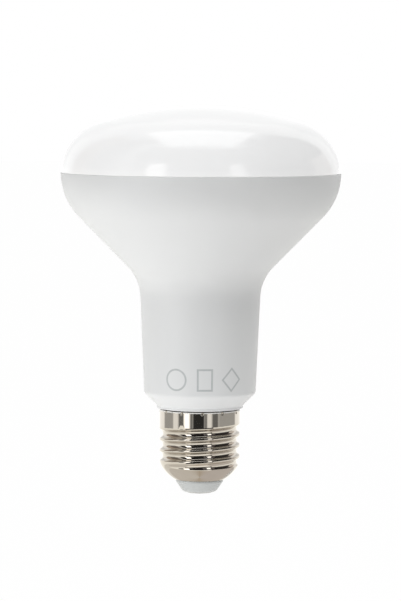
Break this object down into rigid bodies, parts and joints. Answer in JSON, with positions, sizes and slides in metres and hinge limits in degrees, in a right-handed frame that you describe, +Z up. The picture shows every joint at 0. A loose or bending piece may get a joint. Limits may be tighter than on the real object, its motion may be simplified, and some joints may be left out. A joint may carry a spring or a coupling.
{
  "type": "reflector lamp",
  "caption": "Sealed reflector bulb: opal domed diffuser on a pale flared housing, with a crimped screw shell, insulator cone and centre contact.",
  "frame": {"origin": "tip of the centre contact, on the lamp's axis", "axes": "+Z up along the lamp's axis from the centre contact to the crown of the dome; -Y towards the camera; +X to the right in the picture"},
  "size_m": [0.0904, 0.0904, 0.1251],
  "materials": {
    "opal_plastic": "opal, glossy moulded",
    "satin_plastic": "light grey, satin, finely grained",
    "plated_shell": "nickel plated, bright",
    "insulator_plastic": "pale grey, smooth",
    "plated_contact": "nickel plated, bright"
  },
  "bodies": {
    "root": {"diffuser_dome": "opal_plastic", "reflector_housing": "satin_plastic", "screw_shell": "plated_shell", "cap_insulator": "insulator_plastic", "centre_contact": "plated_contact"}
  },
  "joints": []
}
